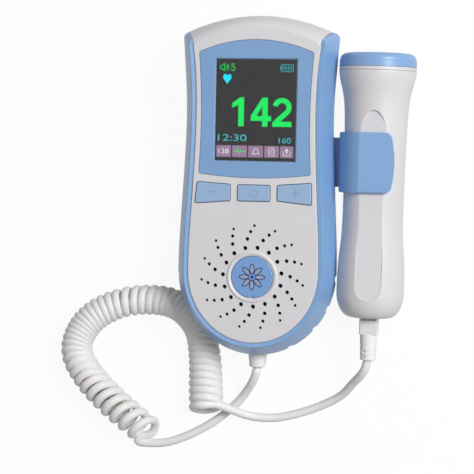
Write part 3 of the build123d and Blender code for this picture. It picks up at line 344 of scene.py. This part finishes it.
# How the turns change along the coil: its share, their pitch, how far their tops lean forward,
# and their radius
TURNS = [
    (0.0, 7.4, 1.6, 5.5), (0.032, 5.7, 1.8, 5.5), (0.08, 5.1, 1.9, 5.5),
    (0.128, 4.7, 2.1, 5.5), (0.167, 4.4, 2.3, 5.5), (0.211, 4.0, 2.4, 5.5),
    (0.244, 3.6, 2.6, 5.4), (0.273, 3.1, 2.8, 5.3), (0.302, 2.7, 3.0, 5.25),
    (0.331, 2.4, 3.0, 5.2), (0.37, 2.2, 2.8, 5.2), (0.399, 2.4, 2.4, 5.2),
    (0.438, 2.9, 2.0, 5.1), (0.467, 3.3, 1.4, 5.05), (0.506, 3.7, 0.7, 4.95),
    (0.52, 4.6, 0.4, 4.9), (0.544, 4.4, 0.2, 4.9), (0.564, 3.8, 0.0, 4.9),
    (0.593, 3.8, -0.2, 4.9), (0.631, 3.3, -0.4, 4.9), (0.67, 2.9, -0.7, 4.9),
    (0.699, 2.5, -1.0, 4.9), (0.747, 2.5, -1.4, 4.95), (0.786, 2.7, -1.8, 5.0),
    (0.834, 3.2, -2.2, 5.3), (0.902, 3.2, -2.3, 5.7), (0.941, 3.4, -2.4, 5.9),
    (1.0, 4.0, -3.0, 6.0),
]


def sampled(points, steps):
    """Points along the smooth line, a NURBS spline, that these control points give."""
    curve = bpy.data.curves.new("route", "CURVE")
    curve.dimensions = "3D"
    curve.resolution_u = steps
    spline = curve.splines.new("NURBS")
    spline.points.add(len(points) - 1)
    for point, place in zip(spline.points, points):
        point.co = (*place, 1)
    spline.order_u = 3
    spline.use_endpoint_u = True
    spline.resolution_u = steps
    route = bpy.data.objects.new("route", curve)
    line = bpy.data.meshes.new_from_object(route)
    places = np.array([v.co for v in line.vertices], float)
    bpy.data.objects.remove(route)
    bpy.data.curves.remove(curve)
    bpy.data.meshes.remove(line)
    return places


def runs_of(line):
    """Distance along the line at each of its points."""
    return np.concatenate([[0], np.cumsum(np.linalg.norm(np.diff(line, axis=0), axis=1))])


def curly(axis_points):
    """Control points of the turns that wind round the coil's axis."""
    axis = sampled(axis_points, AXIS_STEPS)
    along = runs_of(axis)
    inset = CORD_DIAMETER / 2
    total = along[-1] - 2 * inset
    shares = np.linspace(0, 1, TABLE_STEPS)
    table = np.array(TURNS)
    pitch = np.interp(shares, table[:, 0], table[:, 1]) * MM
    rate = 0.5 * (1 / pitch[1:] + 1 / pitch[:-1])
    turns = np.concatenate([[0], np.cumsum(rate * np.diff(shares) * total)])
    turned = round(turns[-1] - 0.5) + 0.5
    turns *= turned / turns[-1]
    count = int(turned * TURN_POINTS)
    # The smooth line runs inside its control points by this much
    rounding = (0.5 + 0.5 * math.cos(2 * math.pi / TURN_POINTS)) ** 0.5
    places = []
    for step in range(count + 1):
        turn = turned * step / count
        share = np.interp(turn, turns, shares)
        phase = START_PHASE - 2 * math.pi * turn
        lean = np.interp(share, table[:, 0], table[:, 2]) * MM
        radius = np.interp(share, table[:, 0], table[:, 3]) * MM / rounding
        run = np.clip(inset + share * total, MM, along[-1] - MM)
        behind, centre, ahead = (
            np.array([np.interp(run + shift, along, axis[:, k]) for k in range(3)])
            for shift in (-MM, 0, MM)
        )
        heading = (ahead - behind) / np.linalg.norm(ahead - behind)
        across = np.array([-heading[1], heading[0], 0])
        upward = np.array([0, 0, 1])
        places.append(
            centre + radius * (math.cos(phase) * across + math.sin(phase) * upward)
            + lean * math.sin(phase) * heading
        )
    return places


def mesh_object(name, verts, faces):
    """A smooth mesh object from plain lists."""
    mesh = bpy.data.meshes.new(name)
    mesh.from_pydata([tuple(v) for v in verts], [], faces)
    mesh.update()
    for polygon in mesh.polygons:
        polygon.use_smooth = True
    made = bpy.data.objects.new(name, mesh)
    bpy.context.scene.collection.objects.link(made)
    return made


def tube(name, line, radius, sides):
    """A closed round tube along a line, without twist."""
    heading = np.gradient(line, axis=0)
    heading /= np.linalg.norm(heading, axis=1)[:, None]
    side = np.cross(heading[0], (0, 0, 1.0))
    side /= np.linalg.norm(side)
    verts = []
    for place, ahead in zip(line, heading):
        side = side - ahead * (side @ ahead)
        side /= np.linalg.norm(side)
        other = np.cross(ahead, side)
        for k in range(sides):
            angle = 2 * math.pi * k / sides
            verts.append(place + radius * (math.cos(angle) * side + math.sin(angle) * other))
    faces = [
        (
            a * sides + k, a * sides + (k + 1) % sides,
            (a + 1) * sides + (k + 1) % sides, (a + 1) * sides + k,
        )
        for a in range(len(line) - 1)
        for k in range(sides)
    ]
    faces.append(tuple(range(sides))[::-1])
    faces.append(tuple((len(line) - 1) * sides + k for k in range(sides)))
    return mesh_object(name, verts, faces)


def in_metres(points):
    """A list of points in millimetres, in metres."""
    return [tuple(c * MM for c in p) for p in points]


cord_points = in_metres(UNIT_LEAD) + curly(in_metres(COIL_AXIS)) + in_metres(PROBE_LEAD)
cord_line = sampled(cord_points, CORD_STEPS)
cord = tube("curly_cord", cord_line, CORD_DIAMETER / 2, CORD_SIDES)
cord.data.materials.append(cord_white)
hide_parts("cord_unit_lead", "cord_coil", "cord_probe_lead")
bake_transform(cord)

# ---------------------------------------------------------------------------
# Flat marks: the display's picture, the keys' symbols and the medallion's rosette
# ---------------------------------------------------------------------------

MARK = 0.05 * MM               # thickness of every mark


def plate(form, outline, low, height=MARK):
    """Adds a flat closed plate with this outline."""
    bottom = [form.verts.new((x, y, low)) for x, y in outline]
    top = [form.verts.new((x, y, low + height)) for x, y in outline]
    form.faces.new(top)
    form.faces.new(bottom[::-1])
    for k in range(len(outline)):
        form.faces.new((bottom[k - 1], bottom[k], top[k], top[k - 1]))


def stroke(form, line, width, low, closed=False):
    """Adds a line of even width, as a flat closed plate."""
    line = np.array(line, float)
    before = np.roll(line, 1, axis=0) if closed else np.vstack([line[:1], line[:-1]])
    after = np.roll(line, -1, axis=0) if closed else np.vstack([line[1:], line[-1:]])
    heading = after - before
    heading /= np.linalg.norm(heading, axis=1)[:, None]
    side = np.column_stack([-heading[:, 1], heading[:, 0]]) * width / 2
    rows = [
        [form.verts.new((*place, z)) for place in edge]
        for edge, z in ((line + side, low), (line + side, low + MARK),
                        (line - side, low + MARK), (line - side, low))
    ]
    count = len(line)
    for k in range(count if closed else count - 1):
        following = (k + 1) % count
        for a, b in zip(rows, rows[1:] + rows[:1]):
            form.faces.new((a[k], a[following], b[following], b[k]))
    if not closed:
        form.faces.new([row[0] for row in rows])
        form.faces.new([row[-1] for row in rows][::-1])


def figures(form, text, box, low):
    """Adds plain figures that fill the box (left, top, right, bottom)."""
    curve = bpy.data.curves.new("figures", "FONT")
    curve.body = text
    curve.extrude = 0.5
    holder = bpy.data.objects.new("figures", curve)
    mesh = bpy.data.meshes.new_from_object(holder)
    spots = np.array([v.co for v in mesh.vertices])
    lowest, highest = spots.min(axis=0), spots.max(axis=0)
    left, top, right, bottom = box
    for vertex, spot in zip(mesh.vertices, spots):
        share = (spot - lowest) / (highest - lowest)
        vertex.co = (
            left + share[0] * (right - left),
            bottom + share[1] * (top - bottom),
            low + share[2] * MARK,
        )
    form.from_mesh(mesh)
    bpy.data.objects.remove(holder)
    bpy.data.curves.remove(curve)
    bpy.data.meshes.remove(mesh)


def arc(centre, radius, start, end, steps):
    """Points along an arc, its angles in degrees."""
    angles = np.radians(np.linspace(start, end, steps))
    return [(centre[0] + radius * math.cos(a), centre[1] + radius * math.sin(a)) for a in angles]


def rounded(left, top, right, bottom, radius):
    """Outline of a box with rounded corners."""
    corners = (
        (right - radius, top - radius, 0), (left + radius, top - radius, 90),
        (left + radius, bottom + radius, 180), (right - radius, bottom + radius, 270),
    )
    return [
        spot for x, y, start in corners for spot in arc((x, y), radius, start, start + 90, 5)
    ]


def beside(centre, spots):
    """Places given in millimetres from a centre."""
    return [(centre[0] + x * MM, centre[1] + y * MM) for x, y in spots]


def marks(name, form, finish, body):
    """Makes one piece of all the plates in form."""
    bmesh.ops.recalc_face_normals(form, faces=form.faces)
    mesh = bpy.data.meshes.new(name)
    form.to_mesh(mesh)
    form.free()
    mesh.materials.append(finish)
    made = bpy.data.objects.new(name, mesh)
    bpy.context.scene.collection.objects.link(made)
    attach(made, body)


# The display's picture lies on the display's glass, under the window. Its places are shares
# of the screen's width and length, counted from its top left corner.
WINDOW_LIP = 1.0 * MM
window_low, window_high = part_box("display_window")
screen_left, screen_top = window_low[0] + WINDOW_LIP, window_high[1] - WINDOW_LIP
screen_width = window_high[0] - window_low[0] - 2 * WINDOW_LIP
screen_length = window_high[1] - window_low[1] - 2 * WINDOW_LIP
field_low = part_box("lcd_module")[1][2]
mark_low = field_low + MARK
icon_low = mark_low + MARK / 2


def on_screen(u, v):
    """A place on the screen from its shares of the width and the length."""
    return (screen_left + u * screen_width, screen_top - v * screen_length)


def screen_box(left, top, right, bottom):
    """A box on the screen, as (left, top, right, bottom) in metres."""
    return (*on_screen(left, top), *on_screen(right, bottom))


FIELD = (0.008, 0.017, 0.975, 0.992)
TILES = [(0.012, 0.197), (0.211, 0.398), (0.413, 0.598), (0.612, 0.794), (0.809, 0.972)]
TILE_TOP, TILE_BOTTOM = 0.849, 0.964
FIELD_CORNER, TILE_CORNER, BAR_CORNER, FOOT_CORNER = 0.3 * MM, 0.35 * MM, 0.1 * MM, 0.05 * MM

field = bmesh.new()
plate(field, rounded(*screen_box(*FIELD), FIELD_CORNER), field_low)
marks("screen_field", field, lit("screen_grey", (42, 42, 43)), "unit")

tiles = bmesh.new()
for left, right in TILES:
    tile = screen_box(left, TILE_TOP, right, TILE_BOTTOM)
    plate(tiles, rounded(*tile, TILE_CORNER), mark_low, MARK / 2)
marks("screen_tiles", tiles, lit("screen_mauve", (148, 120, 150)), "unit")

icon_y = on_screen(0, (TILE_TOP + TILE_BOTTOM) / 2)[1]
tile_middles = [(on_screen((left + right) / 2, 0)[0], icon_y) for left, right in TILES]

# The large 142, as shares of the screen
ONE = [
    (0.300, 0.375), (0.350, 0.375), (0.350, 0.660), (0.280, 0.660),
    (0.280, 0.450), (0.201, 0.480), (0.201, 0.434),
]
FOUR = [
    (0.578, 0.375), (0.647, 0.375), (0.647, 0.556), (0.690, 0.556),
    (0.690, 0.605), (0.647, 0.605), (0.647, 0.660), (0.578, 0.660),
    (0.578, 0.605), (0.436, 0.605), (0.436, 0.556), (0.578, 0.556),
]
FOUR_SLANT = [(0.578, 0.375), (0.578, 0.460), (0.508, 0.556), (0.436, 0.556)]
TWO_FOOT = (0.706, 0.608, 0.942, 0.660)
TWO_CORNER = (0.706, 0.660)
FIVE_CORNER = (0.180, 0.117)
SPEAKER = [
    (0.045, 0.066), (0.068, 0.066), (0.098, 0.042),
    (0.098, 0.12), (0.068, 0.096), (0.045, 0.096),
]
SOUND_AT, SOUND_RADII, SOUND_SPREAD = (0.098, 0.081), (1.1 * MM, 1.8 * MM), 48
# The rounded figures and the icons, in millimetres from their own corner or centre
TWO_BEND = arc((4.1, 8.3), 3.0, 170, -42, 16) + [(1.4, 1.9)]
FIVE = [
    (1.65, 2.95), (0.4, 2.95), (0.25, 1.7), (0.65, 1.95), (1.05, 1.92), (1.5, 1.55),
    (1.62, 1.0), (1.4, 0.4), (0.95, 0.12), (0.5, 0.17), (0.15, 0.55),
]
WAVE = [(-2.4, 0), (-1.3, 0), (-0.8, 1.3), (-0.1, -1.3), (0.5, 0.7), (0.9, 0), (2.4, 0)]
BELL = [(-1.7, -1.0), (1.7, -1.0), (1.1, -0.3), (0.9, 0.8), (0, 1.5), (-0.9, 0.8), (-1.1, -0.3)]
PAGE = [(-1.2, -1.6), (1.2, -1.6), (1.2, 0.9), (0.5, 1.6), (-1.2, 1.6)]
PAGE_LINES = [[(-0.7, y), (0.6, y)] for y in (-0.7, 0.0, 0.7)]
TRAY = [(-1.5, 0.3), (-1.5, -1.5), (1.5, -1.5), (1.5, 0.3)]
ARROW = [(-0.3, -0.7), (0.3, -0.7), (0.3, 0.5), (0.9, 0.5), (0, 1.6), (-0.9, 0.5), (-0.3, 0.5)]
TWO_LINE, FIVE_LINE, SOUND_LINE, WAVE_LINE = 2.2 * MM, 0.34 * MM, 0.26 * MM, 0.36 * MM
ICON_LINE, PAGE_LINE, BATTERY_LINE = 0.3 * MM, 0.22 * MM, 0.25 * MM

green = bmesh.new()
for outline in (ONE, FOUR, FOUR_SLANT):
    plate(green, [on_screen(*spot) for spot in outline], mark_low)
stroke(green, beside(on_screen(*TWO_CORNER), TWO_BEND), TWO_LINE, mark_low)
plate(green, rounded(*screen_box(*TWO_FOOT), FOOT_CORNER), mark_low)
stroke(green, beside(on_screen(*FIVE_CORNER), FIVE), FIVE_LINE, mark_low)
stroke(green, [on_screen(*spot) for spot in SPEAKER], ICON_LINE, mark_low, closed=True)
for radius in SOUND_RADII:
    ripple = arc(on_screen(*SOUND_AT), radius, -SOUND_SPREAD, SOUND_SPREAD, 9)
    stroke(green, ripple, SOUND_LINE, mark_low)
stroke(green, beside(tile_middles[1], WAVE), WAVE_LINE, icon_low)
marks("screen_green", green, lit("screen_green", (0, 232, 92)), "unit")

heart = bmesh.new()
heart_x, heart_y = on_screen(0.135, 0.19)
HEART_SIZE, HEART_STRETCH = 0.115 * MM, 1.35
plate(heart, [
    (heart_x + HEART_SIZE * 16 * math.sin(t) ** 3,
     heart_y + HEART_STRETCH * HEART_SIZE
     * (13 * math.cos(t) - 5 * math.cos(2 * t) - 2 * math.cos(3 * t) - math.cos(4 * t)))
    for t in np.linspace(0, 2 * math.pi, 40, endpoint=False)
], mark_low)
marks("screen_heart", heart, lit("screen_cyan", (0, 224, 250)), "unit")

BATTERY, BATTERY_NUB = (0.803, 0.052, 0.953, 0.119), (0.787, 0.073, 0.8, 0.098)
BAR_LEFT, BAR_PITCH, BAR_WIDTH, BAR_TOP, BAR_BOTTOM = 0.822, 0.033, 0.012, 0.066, 0.105
CLOCK, LIMIT = (0.03, 0.74, 0.388, 0.806), (0.79, 0.766, 0.94, 0.822)

teal = bmesh.new()
battery = rounded(*screen_box(*BATTERY), FIELD_CORNER)
stroke(teal, battery, BATTERY_LINE, mark_low, closed=True)
for bar in range(4):
    bar_left = BAR_LEFT + BAR_PITCH * bar
    bar_box = screen_box(bar_left, BAR_TOP, bar_left + BAR_WIDTH, BAR_BOTTOM)
    plate(teal, rounded(*bar_box, BAR_CORNER), mark_low)
plate(teal, rounded(*screen_box(*BATTERY_NUB), BAR_CORNER), mark_low)
figures(teal, "12:30", screen_box(*CLOCK), mark_low)
figures(teal, "160", screen_box(*LIMIT), mark_low)
marks("screen_teal", teal, lit("screen_teal", (60, 182, 190)), "unit")

COUNT_HALF_WIDTH, COUNT_HALF_HEIGHT = 2.2 * MM, 1.1 * MM

icons = bmesh.new()
count_x = tile_middles[0][0]
count_box = (
    count_x - COUNT_HALF_WIDTH, icon_y + COUNT_HALF_HEIGHT,
    count_x + COUNT_HALF_WIDTH, icon_y - COUNT_HALF_HEIGHT,
)
figures(icons, "138", count_box, icon_low)
stroke(icons, beside(tile_middles[2], BELL), ICON_LINE, icon_low, closed=True)
stroke(icons, beside(tile_middles[3], PAGE), ICON_LINE, icon_low, closed=True)
for line in PAGE_LINES:
    stroke(icons, beside(tile_middles[3], line), PAGE_LINE, icon_low)
stroke(icons, beside(tile_middles[4], TRAY), ICON_LINE, icon_low)
plate(icons, beside(tile_middles[4], ARROW), icon_low)
marks("screen_icons", icons, lit("screen_white", (222, 226, 228)), "unit")

# Symbols on the keys
KEY_LINE, POWER_LINE = 0.6 * MM, 0.5 * MM
key_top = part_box("power_button")[1][2]

MINUS = [(-19.6, -2.35), (-16.25, -2.35)]
minus = bmesh.new()
stroke(minus, in_metres(MINUS), KEY_LINE, key_top)
marks("minus_symbol", minus, symbol_blue, "minus_key")

POWER_AT, POWER_RADIUS = (0.0 * MM, -2.6 * MM), 1.6 * MM
power = bmesh.new()
stroke(power, arc(POWER_AT, POWER_RADIUS, 125, 415, 28), POWER_LINE, key_top)
stroke(power, beside(POWER_AT, [(0, 0.4), (0, 2.0)]), POWER_LINE, key_top)
marks("power_symbol", power, symbol_blue, "power_key")

PLUS_AT, PLUS_ARM = (18.15 * MM, -2.45 * MM), 2.0 * MM
plus = bmesh.new()
half = KEY_LINE / 2
plate(plus, [
    (PLUS_AT[0] + x, PLUS_AT[1] + y)
    for x, y in (
        (half, half), (PLUS_ARM, half), (PLUS_ARM, -half), (half, -half),
        (half, -PLUS_ARM), (-half, -PLUS_ARM), (-half, -half), (-PLUS_ARM, -half),
        (-PLUS_ARM, half), (-half, half), (-half, PLUS_ARM), (half, PLUS_ARM),
    )
], key_top)
marks("plus_symbol", plus, symbol_blue, "plus_key")

# The medallion's rosette: petals with dark outlines round a small boss
MEDALLION_RADIUS = 9.05 * MM
medallion_low, medallion_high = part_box("medallion")
ROSETTE_AT = (
    (medallion_low[0] + medallion_high[0]) / 2,
    medallion_high[1] - MEDALLION_RADIUS,
)
PETALS, PETAL_ROOT, PETAL_TIP, PETAL_HALF_WIDTH = 8, 1.5 * MM, 5.6 * MM, 1.15 * MM
PETAL_TAPER, PETAL_LINE, BOSS_RADIUS = 0.3, 0.42 * MM, 0.8 * MM


def petal(number):
    """Outline of one petal, pointed at its tip."""
    turn = 2 * math.pi * number / PETALS
    outline = []
    for t in np.linspace(0, 2 * math.pi, 32, endpoint=False):
        share = 0.5 - 0.5 * math.cos(t)
        out = PETAL_ROOT + share * (PETAL_TIP - PETAL_ROOT)
        across = PETAL_HALF_WIDTH * math.sin(t) * (1 - PETAL_TAPER * share)
        outline.append((
            ROSETTE_AT[0] + out * math.cos(turn) - across * math.sin(turn),
            ROSETTE_AT[1] + out * math.sin(turn) + across * math.cos(turn),
        ))
    return outline


fills, lines = bmesh.new(), bmesh.new()
for number in range(PETALS):
    plate(fills, petal(number), medallion_high[2], MARK / 2)
    stroke(lines, petal(number), PETAL_LINE, medallion_high[2], closed=True)
plate(lines, arc(ROSETTE_AT, BOSS_RADIUS, 0, 345, 24), medallion_high[2])
marks("rosette_petals", fills, petal_grey, "unit")
marks("rosette_lines", lines, line_blue, "unit")
